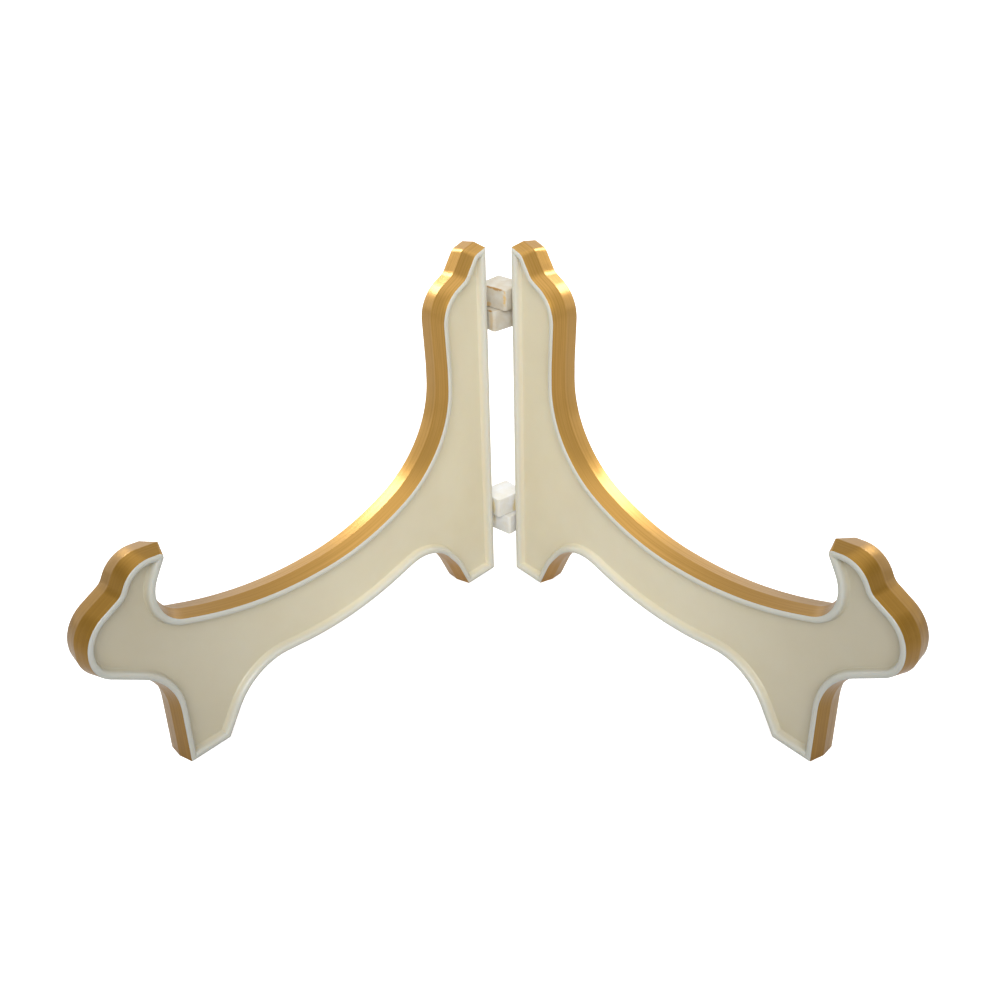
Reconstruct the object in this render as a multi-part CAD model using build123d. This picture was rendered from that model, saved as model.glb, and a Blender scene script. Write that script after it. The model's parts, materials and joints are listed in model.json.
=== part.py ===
"""Folding display easel: two moulded leaves, gold edging, two stacked-lug hinges and their pins.

Frame: +Z up, the front of the easel towards -Y, the hinge axis upright at the back.
The origin is on the floor, at the middle of the box around the easel as it stands open.
"""
from build123d import *
import os

# Leaf, in millimetres and degrees
SPINE_HEIGHT = 140.0        # floor to crown, along the upright back edge of a leaf
LEAF_THICKNESS = 12.4
HALF_OPENING = 40.25        # each leaf, from the fore-and-aft middle plane
RIDGE_HEIGHT = 1.0          # how far the gold edging stands proud at mid-thickness

# Recessed panel, the same on both faces of a leaf
RIM_WIDTH = 2.4
RECESS_DEPTH = 2.8
RECESS_FILLET = 0.7
SMALLEST_RADIUS = 0.8       # at the recess corners whose outline corner is sharp

# Hinges
SPINE_SETBACK = 6.5         # hinge axis to the back edge of a leaf
FACE_GAP = 0.3              # hinge axis to the inner face of a leaf
LUG_FRONT = 3.1             # hinge axis to the front of a lug
LUG_BACK = 8.2              # hinge axis to the back of a lug
LUG_INNER_END = 5.4         # hinge axis to the free end of a lug
LUG_OUTER_SIDE = 7.8        # hinge axis to the side of a lug that its leaf hides
NECK_INNER_SIDE = 3.5       # hinge axis to the near side of the neck that joins a lug to its leaf
LUG_HEIGHT = 8.1
LUG_BEVEL = 0.8             # on the two upright edges of the free end
LUG_PLAY = 0.2              # between the stacked lugs of one hinge
UPPER_SEAM = 115.4          # height of the joint between the upper pair of lugs
LOWER_SEAM = 25.2           # height of the joint between the lower pair of lugs

# Hinge pins, plain steel dowels in blind bores
PIN_DIAMETER = 2.5
PIN_LENGTH = 12.0
PIN_RUNNING_CLEARANCE = 0.05
PIN_END_CLEARANCE = 0.3

# Outline of a leaf: forward from its back edge, height, and the radius of the rounded corner
LEAF_CORNERS = [
    (0.0, 0.0, 0.0),            # heel, at the foot of the spine
    (15.5, 0.0, 0.0),           # toe of the rear foot
    (21.2, 12.0, 30.0),         # shin of the rear foot
    (34.3, 28.4, 20.0),         # crown of the arch
    (77.6, 17.2, 135.0),        # belly
    (124.5, 22.3, 24.0),        # calf of the front foot
    (138.7, 0.0, 0.0),          # heel of the front foot
    (155.0, 0.0, 0.0),          # toe of the front foot
    (155.0, 35.4, 24.0),        # instep
    (182.3, 52.6, 12.5),        # lower half of the front scroll
    (182.2, 68.1, 13.4),        # upper half of the front scroll
    (167.9, 75.5, 5.0),         # neck of the hook
    (162.7, 85.2, 11.0),        # crown of the hook
    (149.9, 84.1, 1.6),         # tip of the hook
    (162.7, 61.5, 13.6),        # seat notch that holds the plate
    (117.9, 45.5, 150.0),       # seat
    (67.9, 45.5, 100.0),        # sweep, lower part
    (37.7, 59.1, 45.0),         # sweep, middle part
    (22.5, 78.9, 40.0),         # sweep, upper part
    (22.3, 99.0, 60.0),         # waist
    (23.5, 124.8, 13.7),        # shoulder
    (10.9, 130.8, 5.0),         # neck below the crown
    (5.5, 138.5, 3.8),          # crown
    (0.0, SPINE_HEIGHT, 0.0),   # top of the spine
]
LEAF_REACH = max(forward for forward, height, radius in LEAF_CORNERS)

# A leaf and its pieces are drawn with the hinge axis upright at the origin, the leaf running
# along +X and its outer face towards -Y. These two values place the drawing of the outline.
INNER_FACE = Plane(origin=(SPINE_SETBACK, -FACE_GAP, 0.0), x_dir=(1, 0, 0), z_dir=(0, -1, 0))
TURN_TO_PLACE = -(90.0 + HALF_OPENING)


def inset_corners(inset: float, sharpest: float) -> tuple[list[Vector], list[float]]:
    """Corners and arc radii of the outline moved inwards by inset, or outwards where negative."""
    points = []
    radii = []
    for index, (forward, height, radius) in enumerate(LEAF_CORNERS):
        corner = Vector(forward, height)
        before = Vector(*LEAF_CORNERS[index - 1][:2])
        after = Vector(*LEAF_CORNERS[(index + 1) % len(LEAF_CORNERS)][:2])
        arriving = (corner - before).normalized()
        leaving = (after - corner).normalized()
        inward_before = Vector(-arriving.Y, arriving.X)
        inward_after = Vector(-leaving.Y, leaving.X)
        share = inset / (1.0 + inward_before.dot(inward_after))
        points.append(corner + (inward_before + inward_after) * share)
        convex = arriving.cross(leaving).Z > 0.0
        parallel_radius = radius - inset if convex else radius + inset
        radii.append(max(parallel_radius if radius else 0.0, sharpest))
    return points, radii


def outline_face(inset: float = 0.0, depth: float = 0.0, sharpest: float = 0.0) -> Face:
    """Face bounded by the outline, at a depth measured from the inner face of the leaf."""
    points, radii = inset_corners(inset, sharpest)
    border = FilletPolyline(*points, radius=radii, close=True)
    return INNER_FACE.offset(depth) * make_face(border.edges())


def make_recess() -> Solid:
    """Tool that sinks the panel of the inner face, with a rounded foot to its walls."""
    mouth = outline_face(RIM_WIDTH, 0.0, SMALLEST_RADIUS)
    block = extrude(mouth, amount=RECESS_DEPTH, dir=(0, -1, 0))
    floor = block.faces().sort_by(Axis.Y)[0]
    return fillet(floor.edges(), RECESS_FILLET)


def make_leaf() -> Part:
    """One leaf: a plate of even thickness with a recessed panel in each face."""
    plate = extrude(outline_face(), amount=LEAF_THICKNESS, dir=(0, -1, 0))
    inner_recess = make_recess()
    mid_plane = Plane.XZ.offset(FACE_GAP + LEAF_THICKNESS / 2)
    outer_recess = mirror(inner_recess, about=mid_plane)
    return plate - inner_recess - outer_recess


def make_edging() -> list[Solid]:
    """The gold edging of one leaf: the run over the top and front, and the run round the arch."""
    half = LEAF_THICKNESS / 2
    ridge = outline_face(-RIDGE_HEIGHT, half)
    inner_half = loft([outline_face(), ridge], ruled=True)
    outer_half = loft([ridge, outline_face(0.0, LEAF_THICKNESS)], ruled=True)
    plate = extrude(outline_face(), amount=LEAF_THICKNESS, dir=(0, -1, 0))
    band = inner_half + outer_half - plate
    reach = 2 * LEAF_REACH
    behind_spine = Pos(SPINE_SETBACK - reach / 2, 0, 0) * Box(reach, reach, 2 * reach)
    below_floor = Pos(0, 0, -reach / 2) * Box(2 * reach, reach, reach)
    runs = band - behind_spine - below_floor
    return list(runs.solids().sort_by(Axis.Z, reverse=True))


def make_lug(seam: float, above: bool) -> Part:
    """Hinge lug of the left leaf on the upper or lower side of a seam, with its blind bore."""
    low = seam + LUG_PLAY / 2 if above else seam - LUG_PLAY / 2 - LUG_HEIGHT
    block_length = LUG_FRONT + LUG_BACK
    block_width = LUG_INNER_END + LUG_OUTER_SIDE
    block = Pos((LUG_FRONT - LUG_BACK) / 2, (LUG_INNER_END - LUG_OUTER_SIDE) / 2, low)
    block *= Box(block_length, block_width, LUG_HEIGHT, align=(Align.CENTER, Align.CENTER, Align.MIN))
    free_edges = block.edges().filter_by(Axis.Z).group_by(Axis.Y)[-1]
    block = chamfer(free_edges, LUG_BEVEL)
    neck_length = SPINE_SETBACK - LUG_FRONT
    neck_width = LUG_OUTER_SIDE - NECK_INNER_SIDE
    neck = Pos(LUG_FRONT + neck_length / 2, -(LUG_OUTER_SIDE + NECK_INNER_SIDE) / 2, low)
    neck *= Box(neck_length, neck_width, LUG_HEIGHT, align=(Align.CENTER, Align.CENTER, Align.MIN))
    return block + neck


def bore(seam: float, radius: float, above: bool) -> Part:
    """Blind bore for half of a hinge pin, opening at the seam."""
    depth = PIN_LENGTH / 2 + PIN_END_CLEARANCE
    align_z = Align.MIN if above else Align.MAX
    return Pos(0, 0, seam) * Cylinder(radius, depth, align=(Align.CENTER, Align.CENTER, align_z))


def make_pin(seam: float) -> Part:
    """Steel dowel on the hinge axis, half in each lug."""
    dowel = Pos(0, 0, seam) * Cylinder(PIN_DIAMETER / 2, PIN_LENGTH)
    return chamfer(dowel.edges().filter_by(GeomType.CIRCLE), 0.2)


def put_left(shape: Part) -> Part:
    """Turn a drawn piece to where the left leaf stands."""
    return Rotation(0, 0, TURN_TO_PLACE) * shape


def put_right(shape: Part) -> Part:
    """The mirror image of put_left."""
    return mirror(put_left(shape), about=Plane.YZ)


def build_nodes() -> dict[str, Part]:
    """Every node of the easel, by name, with the hinge axis at the origin."""
    press = PIN_DIAMETER / 2
    running = press + PIN_RUNNING_CLEARANCE
    front_edging, arch_edging = make_edging()
    leaf = make_leaf()
    nodes = {}
    for side, put in (("left", put_left), ("right", put_right)):
        bore_radius = press if side == "left" else running
        nodes[f"{side}_leaf"] = put(leaf)
        nodes[f"{side}_front_edging"] = put(front_edging)
        nodes[f"{side}_arch_edging"] = put(arch_edging)
        for hinge, seam in (("upper", UPPER_SEAM), ("lower", LOWER_SEAM)):
            above = (side == "left") == (hinge == "upper")
            lug = make_lug(seam, above) - bore(seam, bore_radius, above)
            nodes[f"{side}_{hinge}_hinge_lug"] = put(lug)
    nodes["upper_hinge_pin"] = make_pin(UPPER_SEAM)
    nodes["lower_hinge_pin"] = make_pin(LOWER_SEAM)
    return nodes


nodes = build_nodes()
box = Compound(children=[Compound(children=list(shape.solids())) for shape in nodes.values()]).bounding_box()
to_origin = Pos(0.0, -box.center().Y, 0.0)
os.makedirs("parts", exist_ok=True)
for name, shape in nodes.items():
    export_step(to_origin * shape, f"parts/{name}.step")
print(f"box {box.size.X:.2f} x {box.size.Y:.2f} x {box.size.Z:.2f}, lowest {box.min.Z:.3f}")
print(f"hinge axis at x 0, y {-box.center().Y:.3f}")
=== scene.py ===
"""Looks of a folding display easel: two moulded ivory leaves with gold edging, two stacked-lug
hinges and their steel pins, standing open in a plain white studio.

Lengths in the easel's own dataclasses are millimetres, and those of finishes and stage are metres
unless they say otherwise. Meshes are built in metres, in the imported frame.
"""

import json
import logging
from dataclasses import dataclass
from enum import Enum
from math import atan2, ceil, copysign, hypot, radians, tan

import bmesh
import bpy
from mathutils import Matrix, Vector


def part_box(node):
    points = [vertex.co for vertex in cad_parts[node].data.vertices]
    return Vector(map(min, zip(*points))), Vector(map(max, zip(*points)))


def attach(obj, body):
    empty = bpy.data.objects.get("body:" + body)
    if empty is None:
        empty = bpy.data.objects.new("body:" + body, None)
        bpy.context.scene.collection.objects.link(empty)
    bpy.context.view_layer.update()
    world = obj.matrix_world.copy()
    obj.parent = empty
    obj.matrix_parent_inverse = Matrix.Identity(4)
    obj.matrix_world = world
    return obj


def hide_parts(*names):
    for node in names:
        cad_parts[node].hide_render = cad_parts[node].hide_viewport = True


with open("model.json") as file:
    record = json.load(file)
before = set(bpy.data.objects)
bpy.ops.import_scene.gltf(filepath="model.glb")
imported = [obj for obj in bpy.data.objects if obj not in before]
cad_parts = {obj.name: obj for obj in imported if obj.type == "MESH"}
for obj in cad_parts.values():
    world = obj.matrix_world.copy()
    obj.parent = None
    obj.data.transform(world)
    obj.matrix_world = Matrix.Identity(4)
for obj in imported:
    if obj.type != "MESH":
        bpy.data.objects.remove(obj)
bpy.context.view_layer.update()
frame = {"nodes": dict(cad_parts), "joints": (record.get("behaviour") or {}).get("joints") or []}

log = logging.getLogger("easel")
MM = 0.001
WELD = 1e-7         # metres: vertices nearer than this become one
ON_PLANE = 1e-8     # metres: a vertex nearer than this lies on a cutting plane
TOUCHING = 1e-6     # metres: a vertex nearer than this lies on the back edge of a leaf

Colour = tuple[float, float, float]
Span = tuple[float, float]
Node = bpy.types.Node
Socket = str | int

NOISE_SPAN: Span = (0.3, 0.7)       # where most values of a noise lie
CLOUD_SPAN: Span = (0.35, 0.7)
FLOAT_A, FLOAT_B = 2, 3             # sockets of a Mix node
COLOUR_A, COLOUR_B, COLOUR_OUT = 6, 7, 2


class Side(Enum):
    """The two leaves, as seen from the front of the easel."""

    LEFT = "left"
    RIGHT = "right"


class Hinge(Enum):
    """The two hinges of the easel."""

    UPPER = "upper"
    LOWER = "lower"


class Edging(Enum):
    """The two runs of gold edging on a leaf."""

    FRONT = "front_edging"
    ARCH = "arch_edging"


@dataclass(frozen=True)
class Corner:
    """One corner of the leaf's outline, in millimetres.

    forward and height place it, radius rounds it, and plain says that the edge which leaves it
    carries no gold.
    """

    forward: float
    height: float
    radius: float
    plain: bool = False

    @property
    def place(self) -> Vector:
        """The corner as a plane vector."""
        return Vector((self.forward, self.height))


LEAF_CORNERS: tuple[Corner, ...] = (
    Corner(0.0, 0.0, 0.0, plain=True),      # heel, and the sole of the rear foot
    Corner(15.5, 0.0, 0.0),
    Corner(21.2, 12.0, 30.0),
    Corner(34.3, 28.4, 20.0),               # crown of the arch
    Corner(77.6, 17.2, 135.0),
    Corner(124.5, 22.3, 24.0),
    Corner(138.7, 0.0, 0.0, plain=True),    # sole of the front foot
    Corner(155.0, 0.0, 0.0),
    Corner(155.0, 35.4, 24.0),
    Corner(182.3, 52.6, 12.5),              # front scroll
    Corner(182.2, 68.1, 13.4),
    Corner(167.9, 75.5, 5.0),
    Corner(162.7, 84.5, 11.0),              # crown of the hook
    Corner(149.9, 83.0, 1.6),
    Corner(162.7, 61.5, 13.6),              # seat notch
    Corner(117.9, 45.5, 150.0),
    Corner(67.9, 45.5, 100.0),              # sweep
    Corner(37.7, 59.1, 45.0),
    Corner(22.5, 78.9, 40.0),
    Corner(22.3, 99.0, 60.0),
    Corner(23.5, 124.8, 13.7),              # shoulder
    Corner(10.9, 130.8, 5.0),
    Corner(5.5, 138.5, 3.8),                # crown of the spine
    Corner(0.0, 140.0, 0.0, plain=True),    # top of the spine, and the spine itself
)


@dataclass
class Bend:
    """A rounded corner of the moved outline.

    meeting is where its edges would meet, arriving the direction of the first of them, turn how far
    the outline turns, tangent how far back the arc starts, and steps how many chords draw the arc.
    """

    meeting: Vector
    arriving: Vector
    turn: float
    tangent: float
    steps: int

    def arc(self) -> list[Vector]:
        """Draw the arc.

        Returns:
            The points of the arc, in order.
        """
        start = self.meeting - self.arriving * self.tangent
        radius = self.tangent / tan(self.turn / 2.0)
        centre = start + Vector((-self.arriving.y, self.arriving.x)) * radius
        turns = (Matrix.Rotation(self.turn * step / self.steps, 2)
                 for step in range(self.steps + 1))
        return [centre + turned @ (start - centre) for turned in turns]


@dataclass(frozen=True)
class LeafOutline:
    """The closed outline of a leaf, whose parallel copies all have the same number of points.

    arc_turn is the largest turn between two points of an arc in degrees, arc_chord about the
    longest step along one, fewest_steps the least number of steps, sharpest the smallest radius,
    and room_share how much of an edge the arcs at its two ends may use.
    """

    corners: tuple[Corner, ...] = LEAF_CORNERS
    arc_turn: float = 4.0
    arc_chord: float = 2.0
    fewest_steps: int = 3
    sharpest: float = 0.3
    room_share: float = 0.996

    def ring(self, inset: float, plain_inset: float | None = None) -> list[Vector]:
        """The outline moved inwards by a distance.

        Args:
            inset: how far every edge moves in, or out where it is negative.
            plain_inset: another distance for the edges that carry no gold.

        Returns:
            Points anticlockwise, forward and height, from the heel.
        """
        others = inset if plain_inset is None else plain_inset
        bends = [self.bend(index, inset, others) for index in range(len(self.corners))]
        for index, bend in enumerate(bends):
            following = bends[(index + 1) % len(bends)]
            room = self.room_share * (following.meeting - bend.meeting).length
            share = min(1.0, room / (bend.tangent + following.tangent))
            bend.tangent *= share
            following.tangent *= share
        return [point for bend in bends for point in bend.arc()]

    def bend(self, index: int, inset: float, others: float) -> Bend:
        """One corner of a moved outline, before its neighbours limit its arc.

        Args:
            index: which corner.
            inset: how far the edges with gold move in.
            others: how far the plain edges move in.

        Returns:
            The bend.
        """
        corner = self.corners[index]
        before = self.corners[index - 1]
        after = self.corners[(index + 1) % len(self.corners)]
        arriving = (corner.place - before.place).normalized()
        leaving = (after.place - corner.place).normalized()
        turn = atan2(arriving.cross(leaving), arriving.dot(leaving))
        shift_in = others if before.plain else inset
        shift_out = others if corner.plain else inset
        inward_in = Vector((-arriving.y, arriving.x))
        inward_out = Vector((-leaving.y, leaving.x))
        share = inward_in.dot(inward_out)
        spread = 1.0 - share * share
        meeting = corner.place + inward_in * ((shift_in - share * shift_out) / spread)
        meeting = meeting + inward_out * ((shift_out - share * shift_in) / spread)
        drawn = corner.radius - copysign(inset, turn)
        radius = max(drawn if corner.radius else 0.0, self.sharpest)
        span = abs(turn)
        by_chord = span * corner.radius / self.arc_chord
        steps = ceil(max(span / radians(self.arc_turn), by_chord, self.fewest_steps))
        return Bend(meeting, arriving, turn, radius * tan(span / 2.0), steps)


class RingShell:
    """A mesh grown ring by ring: each new ring is extruded from the last and moved to its place."""

    def __init__(self, layers: tuple[str, ...]) -> None:
        """Start an empty mesh.

        Args:
            layers: names of the float layers on its vertices.
        """
        self.mesh = bmesh.new()
        self.layers = {name: self.mesh.verts.layers.float.new(name) for name in layers}
        self.ring: list[bmesh.types.BMVert] = []

    def begin(self, places: list[Vector]) -> None:
        """Make the first ring, as a closed loop of edges.

        Args:
            places: where its vertices go.
        """
        self.ring = [self.mesh.verts.new(place) for place in places]
        for index, vert in enumerate(self.ring):
            self.mesh.edges.new((self.ring[index - 1], vert))

    def edges(self) -> list[bmesh.types.BMEdge]:
        """The edges of the last ring, in order."""
        return [self.mesh.edges.get((self.ring[i - 1], vert)) for i, vert in enumerate(self.ring)]

    def grow(self, places: list[Vector]) -> None:
        """Extrude the last ring and move the new one.

        Args:
            places: where the new ring's vertices go.
        """
        made = bmesh.ops.extrude_edge_only(self.mesh, edges=self.edges())["geom"]
        fresh = {item for item in made if isinstance(item, bmesh.types.BMVert)}
        following = []
        for vert, place in zip(self.ring, places):
            linked = (edge.other_vert(vert) for edge in vert.link_edges)
            partner = next(other for other in linked if other in fresh)
            partner.co = place
            following.append(partner)
        self.ring = following

    def mark(self, name: str, values: list[float] | float) -> None:
        """Write a layer on the last ring.

        Args:
            name: the layer.
            values: one value for the whole ring, or one for each vertex.
        """
        listed = values if isinstance(values, list) else [values] * len(self.ring)
        for vert, value in zip(self.ring, listed):
            vert[self.layers[name]] = value

    def cap(self) -> None:
        """Close the last ring with one face."""
        self.mesh.faces.new(self.ring)


class Piece:
    """Shared steps that turn a finished bmesh into an object of the easel."""

    smooth_angle: float = 28.0

    def finish(self, name: str, mesh: bmesh.types.BMesh, finish: bpy.types.Material,
               body: str, nodes: tuple[str, ...], slot: str) -> bpy.types.Object:
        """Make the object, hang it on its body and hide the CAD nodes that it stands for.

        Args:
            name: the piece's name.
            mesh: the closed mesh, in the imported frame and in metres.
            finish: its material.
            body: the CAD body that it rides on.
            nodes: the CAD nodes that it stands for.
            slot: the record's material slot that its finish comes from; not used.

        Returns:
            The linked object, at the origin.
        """
        bmesh.ops.remove_doubles(mesh, verts=mesh.verts, dist=WELD)
        bmesh.ops.recalc_face_normals(mesh, faces=mesh.faces)
        data = bpy.data.meshes.new(name)
        mesh.to_mesh(data)
        mesh.free()
        data.shade_smooth()
        data.set_sharp_from_angle(angle=radians(self.smooth_angle))
        piece = bpy.data.objects.new(name, data)
        bpy.context.scene.collection.objects.link(piece)
        data.materials.append(finish)
        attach(piece, body)
        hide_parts(*nodes)
        log.info("%s: %d faces, rides on %s", name, len(data.polygons), body)
        return piece


@dataclass(frozen=True)
class Standing:
    """Where the drawing of a leaf goes.

    axis is the hinge axis in metres and half_opening each leaf's swing in degrees. setback is the
    axis to the back edge of a leaf, and face_gap the axis to its inner face.
    """

    axis: Vector
    half_opening: float = 40.25
    setback: float = 6.5
    face_gap: float = 0.3

    @property
    def swing(self) -> float:
        """How far the drawing is turned, in radians."""
        return radians(90.0 + self.half_opening)

    def spot(self, flat: Vector, depth: float) -> Vector:
        """A point of the drawing in metres, from its place on the outline and its depth."""
        return Vector((self.setback + flat.x, -self.face_gap - depth, flat.y)) * MM

    def placing(self, side: Side) -> Matrix:
        """Work out the transform from the drawing to where a leaf stands.

        Args:
            side: which leaf.

        Returns:
            The transform, in metres.
        """
        turned = Matrix.Rotation(-self.swing, 4, "Z")
        mirrored = Matrix.Diagonal((1.0 if side is Side.LEFT else -1.0, 1.0, 1.0, 1.0))
        return Matrix.Translation((self.axis.x, self.axis.y, 0.0)) @ mirrored @ turned


@dataclass
class Leaf(Piece):
    """A moulded leaf: a plate with a rounded rim round a sunk panel on both of its faces.

    section lists the rim from the sunk panel out to the leaf's edge, as inset and depth. recess is
    the panel's depth, and lip the inset of the rim's highest line.
    """

    outline: LeafOutline
    standing: Standing
    thickness: float = 12.4
    section: tuple[tuple[float, float], ...] = (
        (3.28, 2.8), (3.12, 2.8), (3.0, 2.775), (2.87, 2.7), (2.74, 2.54), (2.62, 2.26),
        (2.51, 1.8),
        (2.4, 1.2), (2.28, 0.78), (2.1, 0.43), (1.85, 0.18), (1.52, 0.045), (1.15, 0.0),
        (0.76, 0.02), (0.42, 0.1), (0.16, 0.24), (0.0, 0.42),
    )
    recess: float = 2.8
    lip: float = 1.15

    def build(self, side: Side, finish: bpy.types.Material) -> bpy.types.Object:
        """Make one leaf.

        Args:
            side: which leaf.
            finish: its ivory plastic.

        Returns:
            The leaf's object.
        """
        shell = RingShell(("relief",))
        outer = tuple((inset, self.thickness - depth) for inset, depth in reversed(self.section))
        for index, (inset, depth) in enumerate(self.section + outer):
            places = [self.standing.spot(flat, depth) for flat in self.outline.ring(inset)]
            if index == 0:
                shell.begin(places)
                shell.cap()
            else:
                shell.grow(places)
            sunk = min(depth, self.thickness - depth)
            shell.mark("relief", min(1.0, sunk / self.recess) if inset > self.lip else 0.0)
        shell.cap()
        bmesh.ops.transform(shell.mesh, matrix=self.standing.placing(side), verts=shell.mesh.verts)
        name = f"{side.value}_leaf"
        return self.finish(
            f"{name}_shell", shell.mesh, finish, f"{side.value}_side", (name,), "ivory_plastic")


@dataclass
class GoldEdging(Piece):
    """The gold edging of a leaf: two flat facets that meet in a low ridge at mid-thickness.

    rim_depth is where the leaf's rim ends, skin how far the band reaches into the leaf, and tuck
    how far below the rim it starts. lip is the first step off the rim, out and along. crest rounds
    the ridge: share of its height, and distance from mid-thickness. overrun carries the band past
    the plain edges before it is cut there. arch_top is a height that only the arch's run stays
    below.
    """

    outline: LeafOutline
    standing: Standing
    thickness: float = 12.4
    ridge: float = 1.0
    rim_depth: float = 0.42
    skin: float = 0.15
    tuck: float = 0.05
    lip: Span = (0.06, 0.2)
    crest: tuple[Span, ...] = ((0.955, 0.3), (0.992, 0.1))
    overrun: float = -3.0
    arch_top: float = 30.0

    def section(self) -> list[tuple[float, float]]:
        """Draw the section of the band over both facets.

        Returns:
            Inset and depth of each point, from one rim to the other.
        """
        near, middle = self.rim_depth, self.thickness / 2.0
        lip_out, lip_along = self.lip
        half = [
            (self.skin, near + self.tuck), (0.0, near), (-lip_out, near + lip_along),
            (-self.ridge * 0.5, (near + middle) / 2.0),
            *((-self.ridge * share, middle - short) for share, short in self.crest),
        ]
        return half + [(inset, self.thickness - depth) for inset, depth in reversed(half)]

    def band(self) -> bmesh.types.BMesh:
        """Make both runs as one closed band, cut off behind the spine and below the floor.

        Returns:
            The mesh, in the drawing's frame.
        """
        shell = RingShell(("along", "across"))
        travel = self.travel()
        section = self.section()
        across = 0.0
        for index, (inset, depth) in enumerate(section):
            flats = self.outline.ring(inset, self.overrun)
            places = [self.standing.spot(flat, depth) for flat in flats]
            if index == 0:
                shell.begin(places)
            else:
                across += hypot(inset - section[index - 1][0], depth - section[index - 1][1])
                shell.grow(places)
            shell.mark("along", travel)
            shell.mark("across", across * MM)
        ends = [edge for edge in shell.mesh.edges if edge.is_boundary]
        bmesh.ops.bridge_loops(shell.mesh, edges=ends)
        spine = Vector((self.standing.setback * MM, 0.0, 0.0))
        backward, downward = Vector((-1.0, 0.0, 0.0)), Vector((0.0, 0.0, -1.0))
        for place, outward in ((spine, backward), (Vector(), downward)):
            bmesh.ops.bisect_plane(
                shell.mesh, geom=[*shell.mesh.verts, *shell.mesh.edges, *shell.mesh.faces],
                dist=ON_PLANE, plane_co=place, plane_no=outward, clear_outer=True)
            cut = [edge for edge in shell.mesh.edges if edge.is_boundary]
            bmesh.ops.holes_fill(shell.mesh, edges=cut, sides=0)
        return shell.mesh

    def travel(self) -> list[float]:
        """Measure how far along the outline each point of a ring is.

        Returns:
            The distances, in metres.
        """
        flats = self.outline.ring(0.0)
        total, lengths = 0.0, [0.0]
        for before, here in zip(flats, flats[1:]):
            total += (here - before).length * MM
            lengths.append(total)
        return lengths

    def keep_run(self, mesh: bmesh.types.BMesh, run: Edging) -> None:
        """Remove the other run.

        Args:
            mesh: both runs, in the drawing's frame.
            run: the one that stays.
        """
        limit = self.arch_top * MM
        seen: set[bmesh.types.BMVert] = set()
        for seed in list(mesh.verts):
            if seed in seen:
                continue
            island, waiting = {seed}, [seed]
            while waiting:
                for edge in waiting.pop().link_edges:
                    for vert in edge.verts:
                        if vert not in island:
                            island.add(vert)
                            waiting.append(vert)
            seen |= island
            low = max(vert.co.z for vert in island) < limit
            if low is not (run is Edging.ARCH):
                bmesh.ops.delete(mesh, geom=list(island), context="VERTS")
                return

    def build(self, side: Side, run: Edging, finish: bpy.types.Material) -> bpy.types.Object:
        """Make one run of edging.

        Args:
            side: which leaf it is on.
            run: which of the two runs.
            finish: its gold.

        Returns:
            The edging's object.
        """
        mesh = self.band()
        self.keep_run(mesh, run)
        bmesh.ops.transform(mesh, matrix=self.standing.placing(side), verts=mesh.verts)
        name = f"{side.value}_{run.value}"
        return self.finish(
            f"{name}_gold", mesh, finish, f"{side.value}_side", (name,), "gold_edging")


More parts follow.
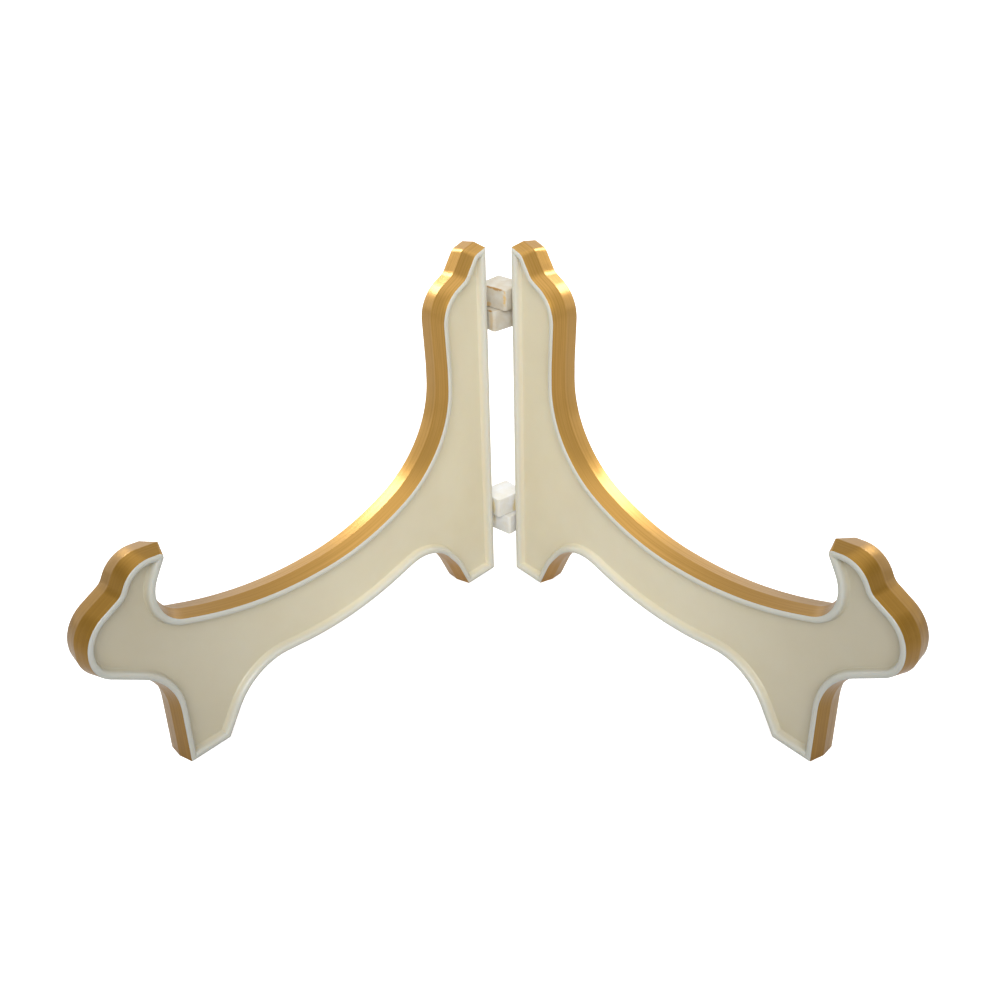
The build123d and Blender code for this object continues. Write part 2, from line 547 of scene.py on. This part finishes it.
@dataclass
class HingeLug(Piece):
    """A hinge lug: a block round the pin, with a neck that joins it to the back of its leaf.

    The first five sizes are measured from the hinge axis. Edges that turn by more than edge_angle
    in degrees are softened in soft_steps, apart from those within bore_guard of the axis.
    """

    standing: Standing
    front: float = 3.1
    back: float = 8.2
    inner_end: float = 5.4
    outer_side: float = 7.8
    neck_side: float = 3.5
    bevel: float = 0.8
    softness: float = 0.22
    bore_radius: float = 1.31
    bore_depth: float = 6.3
    bore_sides: int = 32
    bore_guard: float = 2.0
    edge_angle: float = 30.0
    soft_steps: int = 3

    def plan(self) -> list[tuple[float, float]]:
        """The lug seen from above, anticlockwise, with the hinge axis at the origin."""
        return [
            (-self.back, -self.outer_side),
            (self.standing.setback, -self.outer_side),
            (self.standing.setback, -self.neck_side),
            (self.front, -self.neck_side),
            (self.front, self.inner_end - self.bevel),
            (self.front - self.bevel, self.inner_end),
            (self.bevel - self.back, self.inner_end),
            (-self.back, self.inner_end - self.bevel),
        ]

    def build(self, side: Side, hinge: Hinge, finish: bpy.types.Material) -> bpy.types.Object:
        """Make one lug.

        Args:
            side: the leaf that carries it.
            hinge: which hinge it belongs to.
            finish: its plastic.

        Returns:
            The lug's object.
        """
        name = lug_node(side, hinge)
        low, high = (corner.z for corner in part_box(name))
        above = (side is Side.LEFT) == (hinge is Hinge.UPPER)
        seam, far = (low, high) if above else (high, low)
        mesh = bmesh.new()
        border = [mesh.verts.new((x * MM, y * MM, seam)) for x, y in self.plan()]
        rim = [mesh.edges.new((border[i - 1], vert)) for i, vert in enumerate(border)]
        circle = bmesh.ops.create_circle(
            mesh, segments=self.bore_sides, radius=self.bore_radius * MM,
            matrix=Matrix.Translation((0, 0, seam)))
        mouth = list({edge for vert in circle["verts"] for edge in vert.link_edges})
        bmesh.ops.triangle_fill(mesh, edges=rim + mouth, use_beauty=True)
        bore_end = copysign(self.bore_depth * MM, far - seam)
        for edges, reach in ((rim, far - seam), (mouth, bore_end)):
            made = bmesh.ops.extrude_edge_only(mesh, edges=edges)["geom"]
            moved = [item for item in made if isinstance(item, bmesh.types.BMVert)]
            bmesh.ops.translate(mesh, verts=moved, vec=(0.0, 0.0, reach))
            ends = [item for item in made
                    if isinstance(item, bmesh.types.BMEdge) and item.is_boundary]
            bmesh.ops.contextual_create(mesh, geom=ends)
        bmesh.ops.recalc_face_normals(mesh, faces=mesh.faces)
        setback = self.standing.setback * MM
        soft = [edge for edge in mesh.edges
                if len(edge.link_faces) == 2 and edge.calc_face_angle() > radians(self.edge_angle)
                and min(vert.co.x for vert in edge.verts) < setback - TOUCHING
                and min(vert.co.xy.length for vert in edge.verts) > self.bore_guard * MM]
        bmesh.ops.bevel(mesh, geom=soft, offset=self.softness * MM, offset_type="OFFSET",
                        segments=self.soft_steps, profile=0.5, affect="EDGES", material=-1,
                        clamp_overlap=True)
        bmesh.ops.transform(mesh, matrix=self.standing.placing(side), verts=mesh.verts)
        return self.finish(
            f"{name}_block", mesh, finish, f"{side.value}_side", (name,), "hinge_plastic")


def lug_node(side: Side, hinge: Hinge) -> str:
    """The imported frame's name for a lug."""
    return f"{side.value}_{hinge.value}_hinge_lug"


@dataclass(frozen=True)
class Grain:
    """A noise: its scale, its layers of detail and how strong those are."""

    scale: float
    detail: float = 2.0
    roughness: float = 0.5


class NodeBoard:
    """A material's node tree, with short ways to add, set and join nodes."""

    def __init__(self, name: str) -> None:
        """Make a node material with one Principled shader.

        Args:
            name: the material's name.
        """
        self.material = bpy.data.materials.new(name)
        self.material.use_nodes = True
        self.tree = self.material.node_tree
        self.tree.nodes.clear()
        self.shader = self.add("ShaderNodeBsdfPrincipled")
        output = self.add("ShaderNodeOutputMaterial")
        self.join(self.shader, "BSDF", output, "Surface")
        self.place = self.add("ShaderNodeTexCoord")

    def add(self, kind: str, **settings: object) -> Node:
        """Add a node.

        Args:
            kind: its type.
            settings: its properties.

        Returns:
            The node.
        """
        node = self.tree.nodes.new(kind)
        for name, value in settings.items():
            setattr(node, name, value)
        return node

    def join(self, source: Node, output: Socket, target: Node, socket: Socket) -> None:
        """Link an output of one node to an input of another."""
        self.tree.links.new(source.outputs[output], target.inputs[socket])

    def noise(self, grain: Grain, track: Node | None = None) -> Node:
        """Add a noise texture.

        Args:
            grain: the noise.
            track: the node that gives its coordinates, or None for Object coordinates.

        Returns:
            The noise node.
        """
        node = self.add("ShaderNodeTexNoise")
        node.inputs["Scale"].default_value = grain.scale
        node.inputs["Detail"].default_value = grain.detail
        node.inputs["Roughness"].default_value = grain.roughness
        if track is None:
            self.join(self.place, "Object", node, "Vector")
        else:
            self.join(track, 0, node, "Vector")
        return node

    def mapped(self, source: Node, output: Socket, location: tuple | Vector, turn: float,
               scale: tuple) -> Node:
        """Scale coordinates, then turn them about the vertical, then shift them.

        Args:
            source: the node that gives them.
            output: which of its outputs.
            location: the shift.
            turn: the turn, in radians.
            scale: the scale along each axis.

        Returns:
            The Mapping node.
        """
        node = self.add("ShaderNodeMapping")
        node.inputs["Location"].default_value = location
        node.inputs["Rotation"].default_value = (0.0, 0.0, turn)
        node.inputs["Scale"].default_value = scale
        self.join(source, output, node, "Vector")
        return node

    def attribute(self, name: str) -> Node:
        """A float layer of the mesh."""
        return self.add("ShaderNodeAttribute", attribute_name=name)

    def ranged(self, source: Node, output: Socket, given: Span, wanted: Span = (0.0, 1.0),
               smooth: bool = False) -> Node:
        """Map a value from one range to another.

        Args:
            source: the node that gives the value.
            output: which of its outputs.
            given: start and end of its range.
            wanted: what they become.
            smooth: ease the change at both ends.

        Returns:
            The Map Range node.
        """
        easing = "SMOOTHSTEP" if smooth else "LINEAR"
        node = self.add("ShaderNodeMapRange", interpolation_type=easing)
        for name, value in zip(("From Min", "From Max", "To Min", "To Max"), given + wanted):
            node.inputs[name].default_value = value
        self.join(source, output, node, "Value")
        return node

    def blend(self, factor: Node, first: Node | Colour, second: Node | Colour,
              mode: str = "MIX") -> Node:
        """Mix two colours, each of them fixed or from another blend.

        Args:
            factor: the node that says how much of the second there is.
            first: the first colour.
            second: the second colour.
            mode: how the second is laid over the first.

        Returns:
            The Mix node.
        """
        node = self.add("ShaderNodeMix", data_type="RGBA", blend_type=mode)
        self.join(factor, 0, node, 0)
        for socket, value in ((COLOUR_A, first), (COLOUR_B, second)):
            if isinstance(value, tuple):
                node.inputs[socket].default_value = (*value, 1.0)
            else:
                self.join(value, COLOUR_OUT, node, socket)
        return node

    def sum(self, first: Node, output: Socket, second: Node) -> Node:
        """Add two values.

        Args:
            first: the node that gives the first.
            output: which of its outputs.
            second: the node whose first output gives the second.

        Returns:
            The Math node.
        """
        node = self.add("ShaderNodeMath", operation="ADD")
        self.join(first, output, node, 0)
        self.join(second, 0, node, 1)
        return node

    def reach(self, fade: Span) -> Node:
        """Say how far out to the side a point is.

        Args:
            fade: the distances from the middle where the result is still 0 and already 1.

        Returns:
            The Map Range node.
        """
        apart = self.add("ShaderNodeSeparateXYZ")
        distance = self.add("ShaderNodeMath", operation="ABSOLUTE")
        self.join(self.place, "Object", apart, 0)
        self.join(apart, "X", distance, 0)
        return self.ranged(distance, 0, fade, smooth=True)

    def bump(self, height: Node, strength: float, distance: float) -> None:
        """Roughen the shader's surface.

        Args:
            height: the node that gives the height.
            strength: how much of it shows.
            distance: how high a value of 1 is.
        """
        node = self.add("ShaderNodeBump")
        node.inputs["Strength"].default_value = strength
        node.inputs["Distance"].default_value = distance
        self.join(height, 0, node, "Height")
        self.join(node, "Normal", self.shader, "Normal")

    def set(self, **values: float | tuple) -> None:
        """Set the shader's own sockets, an underscore standing for a space."""
        for name, value in values.items():
            self.shader.inputs[name.replace("_", " ")].default_value = value


@dataclass(frozen=True)
class IvoryPlastic:
    """Satin moulded ivory, warm in the sunk panel, with a painted reflection on the rounded rim.

    The far colours are painted shading: they darken the leaf towards the hooks over fade, and
    don't stand for a known change in the plastic.
    """

    rim_reflection_near: Colour = (0.60, 0.59, 0.52)
    rim_reflection_far: Colour = (0.405, 0.41, 0.375)
    panel_near: Colour = (0.70, 0.645, 0.485)
    panel_far: Colour = (0.42, 0.385, 0.29)
    mottle: Colour = (0.97, 0.955, 0.92)
    fade: Span = (0.045, 0.125)
    wall: Span = (0.05, 0.9)
    clouds: Grain = Grain(38.0, 4.0, 0.6)
    sheen: Grain = Grain(160.0, 3.0)
    sheen_roughness: Span = (0.30, 0.42)
    skin: Grain = Grain(1400.0)
    skin_strength: float = 0.10
    skin_height: float = 0.0001

    def build(self) -> bpy.types.Material:
        """Make the leaf's plastic.

        Returns:
            The material.
        """
        board = NodeBoard("ivory_plastic")
        reach = board.reach(self.fade)
        # The rim's cooler, greyer colour is a painted reflection on the rounded bead, and its far
        # colour adds painted shade towards the hooks.
        rim = board.blend(reach, self.rim_reflection_near, self.rim_reflection_far)
        panel = board.blend(reach, self.panel_near, self.panel_far)
        sunk = board.ranged(board.attribute("relief"), "Fac", self.wall, smooth=True)
        clouds = board.ranged(board.noise(self.clouds), 0, CLOUD_SPAN)
        tone = board.blend(clouds, board.blend(sunk, rim, panel), self.mottle, "MULTIPLY")
        board.join(tone, COLOUR_OUT, board.shader, "Base Color")
        gloss = board.ranged(board.noise(self.sheen), 0, NOISE_SPAN, self.sheen_roughness)
        board.join(gloss, 0, board.shader, "Roughness")
        board.bump(board.noise(self.skin), self.skin_strength, self.skin_height)
        board.set(Specular_IOR_Level=0.5, Subsurface_Weight=0.3, Subsurface_Scale=0.004,
                  Subsurface_Radius=(1.0, 0.7, 0.4))
        return board.material


@dataclass(frozen=True)
class SatinGold:
    """Lacquered gold foil with fine streaks that run along the edge.

    hook_shade is painted shading: it darkens the foil towards the hooks over fade, and doesn't
    stand for a known change in the gold. along and across turn metres on the edge into the
    streaks' own scale, and across stops growing at 10 mm.
    """

    colour: Colour = (0.68, 0.385, 0.095)
    deep: Colour = (0.53, 0.285, 0.055)
    hook_shade: Colour = (0.60, 0.565, 0.30)
    fade: Span = (0.055, 0.112)
    along: tuple[Span, Span] = ((0.0, 1.0), (0.0, 14.0))
    across: tuple[Span, Span] = ((0.0, 0.01), (0.0, 17.0))
    streaks: Grain = Grain(1.0, 4.0, 0.65)
    streak_roughness: Span = (0.33, 0.43)
    grain: Grain = Grain(5200.0, 2.0, 0.7)
    grain_strength: float = 0.12
    grain_height: float = 0.00006

    def build(self) -> bpy.types.Material:
        """Make the edging's gold.

        Returns:
            The material.
        """
        board = NodeBoard("gold_edging")
        track = board.add("ShaderNodeCombineXYZ")
        for name, spans, axis in (("along", self.along, "X"), ("across", self.across, "Y")):
            board.join(board.ranged(board.attribute(name), "Fac", *spans), 0, track, axis)
        streaks = board.noise(self.streaks, track)
        foil = board.blend(board.ranged(streaks, 0, NOISE_SPAN), self.colour, self.deep)
        shaded = board.blend(board.reach(self.fade), foil, self.hook_shade, "MULTIPLY")
        board.join(shaded, COLOUR_OUT, board.shader, "Base Color")
        gloss = board.ranged(streaks, 0, NOISE_SPAN, self.streak_roughness)
        board.join(gloss, 0, board.shader, "Roughness")
        relief = board.sum(board.noise(self.grain), 0, streaks)
        board.bump(relief, self.grain_strength, self.grain_height)
        board.set(Metallic=1.0, Specular_IOR_Level=0.5, Coat_Weight=0.5, Coat_Roughness=0.2)
        return board.material


@dataclass(frozen=True)
class LugTint:
    """A yellow or brown tint laid on a set spot of a lug.

    place is in millimetres from the hinge axis along the leaf, across it and above the floor.
    reach is how far it goes each way.
    """

    place: tuple[float, float, float]
    reach: tuple[float, float, float]
    colour: Colour
    strength: float = 0.8


BROWN: Colour = (0.36, 0.195, 0.055)
AMBER: Colour = (0.60, 0.40, 0.15)
YELLOW: Colour = (0.74, 0.60, 0.30)

# Yellow and brown tints at set spots of each lug, on its front face and on its inner end.
LUG_TINTS: dict[tuple[Side, Hinge], tuple[LugTint, ...]] = {
    (Side.LEFT, Hinge.UPPER): (
        LugTint((3.1, 0.4, 123.5), (0.9, 5.8, 0.95), BROWN, 1.0),
        LugTint((3.0, 5.0, 120.4), (0.9, 0.95, 4.4), AMBER, 0.9),
        LugTint((3.1, -3.0, 116.7), (1.0, 2.0, 1.6), AMBER, 0.75),
    ),
    (Side.RIGHT, Hinge.UPPER): (
        LugTint((0.7, 5.4, 115.1), (1.5, 0.7, 0.8), BROWN, 1.0),
        LugTint((1.2, 5.3, 111.0), (1.4, 0.8, 5.0), AMBER, 0.45),
    ),
    (Side.RIGHT, Hinge.LOWER): (
        LugTint((-0.2, 5.4, 29.0), (1.7, 0.8, 4.6), YELLOW, 0.8),
        LugTint((3.1, -3.2, 27.6), (1.0, 1.8, 3.6), YELLOW, 0.9),
        LugTint((3.1, 0.6, 25.2), (0.6, 2.6, 0.4), AMBER, 0.6),
    ),
    (Side.LEFT, Hinge.LOWER): (
        LugTint((3.1, -3.0, 21.5), (1.0, 1.8, 3.4), YELLOW, 0.5),
    ),
}


@dataclass(frozen=True)
class HingePlastic:
    """Ivory plastic of the hinge lugs, with yellow and brown tints at set spots on them.

    upper and lower give the two mottled tones of each hinge, as lit and shaded copies of one
    plastic.
    The lower hinge's paler tones are painted light and the upper's darker ones painted shade, not a
    known difference in the plastic. ragged breaks up a tint's border, and border is where it fades
    in, as a share of the tint's reach.
    """

    standing: Standing
    upper: tuple[Colour, Colour] = ((0.58, 0.55, 0.48), (0.52, 0.455, 0.345))
    lower: tuple[Colour, Colour] = ((0.72, 0.725, 0.72), (0.68, 0.65, 0.57))
    clouds: Grain = Grain(260.0, 3.0)
    blotches: Grain = Grain(900.0, 3.0, 0.7)
    ragged: Span = (-0.35, 0.35)
    border: Span = (1.0, 0.3)
    sheen: Grain = Grain(420.0)
    sheen_roughness: Span = (0.36, 0.5)
    skin: Grain = Grain(1500.0)
    skin_strength: float = 0.12
    skin_height: float = 0.0001

    def build(self, side: Side, hinge: Hinge) -> bpy.types.Material:
        """Make the plastic of one lug.

        Args:
            side: the leaf that carries it.
            hinge: which hinge it belongs to.

        Returns:
            The material.
        """
        board = NodeBoard(f"{lug_node(side, hinge)}_plastic")
        clouds = board.ranged(board.noise(self.clouds), 0, CLOUD_SPAN)
        # The upper and lower tones are painted light and shade on one plastic: the lower hinge
        # paler, the upper darker.
        body = board.blend(clouds, *(self.upper if hinge is Hinge.UPPER else self.lower))
        back = self.standing.placing(side).inverted()
        drawn = board.mapped(board.place, "Object", back.to_translation(), self.standing.swing,
                             (1.0 if side is Side.LEFT else -1.0, 1.0, 1.0))
        ragged = board.ranged(board.noise(self.blotches), 0, NOISE_SPAN, self.ragged)
        for tint in LUG_TINTS[side, hinge]:
            scale = tuple(1.0 / (reach * MM) for reach in tint.reach)
            shift = tuple(-place / reach for place, reach in zip(tint.place, tint.reach))
            local = board.mapped(drawn, 0, shift, 0.0, scale)
            away = board.add("ShaderNodeVectorMath", operation="LENGTH")
            board.join(local, 0, away, 0)
            apart = board.sum(away, "Value", ragged)
            mask = board.ranged(apart, 0, self.border, (0.0, tint.strength), smooth=True)
            body = board.blend(mask, body, tint.colour)
        board.join(body, COLOUR_OUT, board.shader, "Base Color")
        gloss = board.ranged(board.noise(self.sheen), 0, NOISE_SPAN, self.sheen_roughness)
        board.join(gloss, 0, board.shader, "Roughness")
        board.bump(board.noise(self.skin), self.skin_strength, self.skin_height)
        board.set(Specular_IOR_Level=0.5, Subsurface_Weight=0.1, Subsurface_Scale=0.002,
                  Subsurface_Radius=(1.0, 0.7, 0.4))
        return board.material


@dataclass(frozen=True)
class PinSteel:
    """Drawn steel wire of the hinge pins."""

    colour: Colour = (0.56, 0.56, 0.58)
    drawn: Grain = Grain(900.0, 3.0)
    drawn_roughness: Span = (0.2, 0.34)
    drawn_strength: float = 0.1
    drawn_height: float = 0.0001

    def build(self) -> bpy.types.Material:
        """Make the pins' steel.

        Returns:
            The material.
        """
        board = NodeBoard("pin_steel")
        drawn = board.noise(self.drawn)
        gloss = board.ranged(drawn, 0, NOISE_SPAN, self.drawn_roughness)
        board.join(gloss, 0, board.shader, "Roughness")
        board.bump(drawn, self.drawn_strength, self.drawn_height)
        board.set(Metallic=1.0, Base_Color=(*self.colour, 1.0))
        return board.material


@dataclass(frozen=True)
class Softbox:
    """A rectangular studio light: where it hangs, its sides, its power in watts, what it faces."""

    name: str
    place: tuple[float, float, float]
    size: tuple[float, float]
    power: float
    target: tuple[float, float, float] = (0.0, 0.0, 0.07)

    def build(self) -> None:
        """Hang the light."""
        data = bpy.data.lights.new(self.name, "AREA")
        data.shape = "RECTANGLE"
        data.size, data.size_y = self.size
        data.energy = self.power
        light = bpy.data.objects.new(self.name, data)
        bpy.context.scene.collection.objects.link(light)
        light.location = self.place
        facing = Vector(self.target) - Vector(self.place)
        light.rotation_euler = facing.to_track_quat("-Z", "Y").to_euler()


@dataclass(frozen=True)
class Viewpoint:
    """The camera: place in metres, heading, pitch and roll in degrees, lens in millimetres."""

    place: tuple[float, float, float] = (0.01320, -0.36725, 0.28790)
    heading: float = 1.945
    pitch: float = -30.73
    roll: float = -1.34
    lens: float = 43.91

    def build(self) -> None:
        """Set up the scene's camera."""
        data = bpy.data.cameras.new("camera")
        data.sensor_width = 36.0
        data.lens = self.lens
        data.clip_start = 0.01
        data.clip_end = 50.0
        camera = bpy.data.objects.new("camera", data)
        bpy.context.scene.collection.objects.link(camera)
        turned = (Matrix.Rotation(radians(self.heading), 4, "Z")
                  @ Matrix.Rotation(radians(90.0 + self.pitch), 4, "X")
                  @ Matrix.Rotation(radians(self.roll), 4, "Z"))
        camera.matrix_world = Matrix.Translation(self.place) @ turned
        bpy.context.scene.camera = camera


@dataclass(frozen=True)
class Studio:
    """A plain white floor, soft light from the front and from both rear sides, and the camera.

    floor_tone and floor_lift make the floor that the camera sees, and floor_bounce the darker one
    that lights the easel. floor_drop keeps it just below the feet. surround lists how the light
    from all around changes with direction: the axis, the range along it, and the brightness at
    both ends of that range. backdrop is how bright the surround looks to the camera.
    """

    floor_size: float = 12.0
    floor_tone: float = 0.9
    floor_bounce: float = 0.50
    floor_lift: float = 0.55
    floor_drop: float = 0.0002
    backdrop: float = 1.2
    surround: tuple[tuple[str, float, float, float, float], ...] = (
        ("Z", 0.0, 0.65, 0.90, 0.42),
        ("Z", 0.72, 0.93, 1.0, 2.3),
        ("Y", -0.9, -0.35, 0.6, 1.0),
        ("Y", -0.25, 0.6, 0.92, 1.4),
    )
    softboxes: tuple[Softbox, ...] = (
        Softbox("softbox_left", (-0.60, 0.60, 0.60), (0.30, 0.30), 2.3),
        Softbox("softbox_right", (0.60, 0.60, 0.60), (0.30, 0.30), 2.3),
        Softbox("softbox_front", (0.0, -0.9, 0.8), (0.9, 0.5), 12.0),
    )

    def build(self) -> None:
        """Set the stage."""
        self.lay_floor()
        self.light()
        Viewpoint().build()
        settings = bpy.context.scene.view_settings
        settings.view_transform = "Standard"
        settings.look = "None"

    def lay_floor(self) -> None:
        """A pale matt floor, seen only from above."""
        mesh = bmesh.new()
        bmesh.ops.create_grid(mesh, x_segments=1, y_segments=1, size=self.floor_size / 2.0)
        data = bpy.data.meshes.new("floor")
        mesh.to_mesh(data)
        mesh.free()
        floor = bpy.data.objects.new("floor", data)
        bpy.context.scene.collection.objects.link(floor)
        floor.location.z = -self.floor_drop
        data.materials.append(self.floor_material())

    def floor_material(self) -> bpy.types.Material:
        """Make a matt white, shown brighter than the light that it throws back on the easel.

        Returns:
            The material, which can't be seen from below.
        """
        material = bpy.data.materials.new("floor_white")
        material.use_nodes = True
        tree = material.node_tree
        tree.nodes.clear()
        shown = tree.nodes.new("ShaderNodeBsdfDiffuse")
        thrown = tree.nodes.new("ShaderNodeBsdfDiffuse")
        shown.inputs["Color"].default_value = (*[self.floor_tone] * 3, 1.0)
        thrown.inputs["Color"].default_value = (*[self.floor_bounce] * 3, 1.0)
        lift, total = tree.nodes.new("ShaderNodeEmission"), tree.nodes.new("ShaderNodeAddShader")
        lift.inputs["Strength"].default_value = self.floor_lift
        path, choice = tree.nodes.new("ShaderNodeLightPath"), tree.nodes.new("ShaderNodeMixShader")
        output = tree.nodes.new("ShaderNodeOutputMaterial")
        tree.links.new(shown.outputs[0], total.inputs[0])
        tree.links.new(lift.outputs[0], total.inputs[1])
        tree.links.new(path.outputs["Is Camera Ray"], choice.inputs[0])
        tree.links.new(thrown.outputs[0], choice.inputs[1])
        tree.links.new(total.outputs[0], choice.inputs[2])
        side = tree.nodes.new("ShaderNodeNewGeometry")
        below = tree.nodes.new("ShaderNodeBsdfTransparent")
        final = tree.nodes.new("ShaderNodeMixShader")
        tree.links.new(side.outputs["Backfacing"], final.inputs[0])
        tree.links.new(choice.outputs[0], final.inputs[1])
        tree.links.new(below.outputs[0], final.inputs[2])
        tree.links.new(final.outputs[0], output.inputs["Surface"])
        return material

    def light(self) -> None:
        """Light the surround and hang the softboxes."""
        world = bpy.data.worlds.new("surround")
        bpy.context.scene.world = world
        world.use_nodes = True
        tree = world.node_tree
        direction = tree.nodes.new("ShaderNodeTexCoord")
        apart = tree.nodes.new("ShaderNodeSeparateXYZ")
        tree.links.new(direction.outputs["Generated"], apart.inputs[0])
        path, choice = tree.nodes.new("ShaderNodeLightPath"), tree.nodes.new("ShaderNodeMix")
        tree.links.new(path.outputs["Is Camera Ray"], choice.inputs[0])
        choice.inputs[FLOAT_B].default_value = self.backdrop
        tree.links.new(choice.outputs[0], tree.nodes["Background"].inputs["Strength"])
        strength = choice.inputs[FLOAT_A]
        for output, low, high, at_low, at_high in self.surround:
            ranged, product = tree.nodes.new("ShaderNodeMapRange"), tree.nodes.new("ShaderNodeMath")
            for index, value in enumerate((low, high, at_low, at_high)):
                ranged.inputs[index + 1].default_value = value
            tree.links.new(apart.outputs[output], ranged.inputs["Value"])
            product.operation = "MULTIPLY"
            product.inputs[1].default_value = 1.0
            tree.links.new(ranged.outputs[0], product.inputs[0])
            tree.links.new(product.outputs[0], strength)
            strength = product.inputs[1]
        tree.nodes["Background"].inputs["Color"].default_value = (1.0, 1.0, 1.0, 1.0)
        for softbox in self.softboxes:
            softbox.build()


class DisplayEasel:
    """The whole easel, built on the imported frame."""

    def __init__(self) -> None:
        """Read where the hinge axis stands and prepare the finishes."""
        axis = Vector(frame["joints"][0]["pos_m"])
        self.standing = Standing(axis)
        self.outline = LeafOutline()
        self.ivory = IvoryPlastic().build()
        self.gold = SatinGold().build()
        self.hinge = HingePlastic(self.standing)
        self.steel = PinSteel().build()

    def build(self) -> None:
        """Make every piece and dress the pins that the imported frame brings."""
        leaf = Leaf(self.outline, self.standing)
        edging = GoldEdging(self.outline, self.standing)
        lug = HingeLug(self.standing)
        for side in Side:
            leaf.build(side, self.ivory)
            for run in Edging:
                edging.build(side, run, self.gold)
            for hinge in Hinge:
                lug.build(side, hinge, self.hinge.build(side, hinge))
        for hinge in Hinge:
            pin = frame["nodes"][f"{hinge.value}_hinge_pin"]
            pin.data.materials.clear()
            pin.data.materials.append(self.steel)
            log.info("%s dressed in drawn steel", pin.name)


def main() -> None:
    """Build the easel and the studio."""
    logging.basicConfig(level=logging.INFO, format="%(name)s: %(message)s")
    DisplayEasel().build()
    Studio().build()


if __name__ == "__main__":
    main()
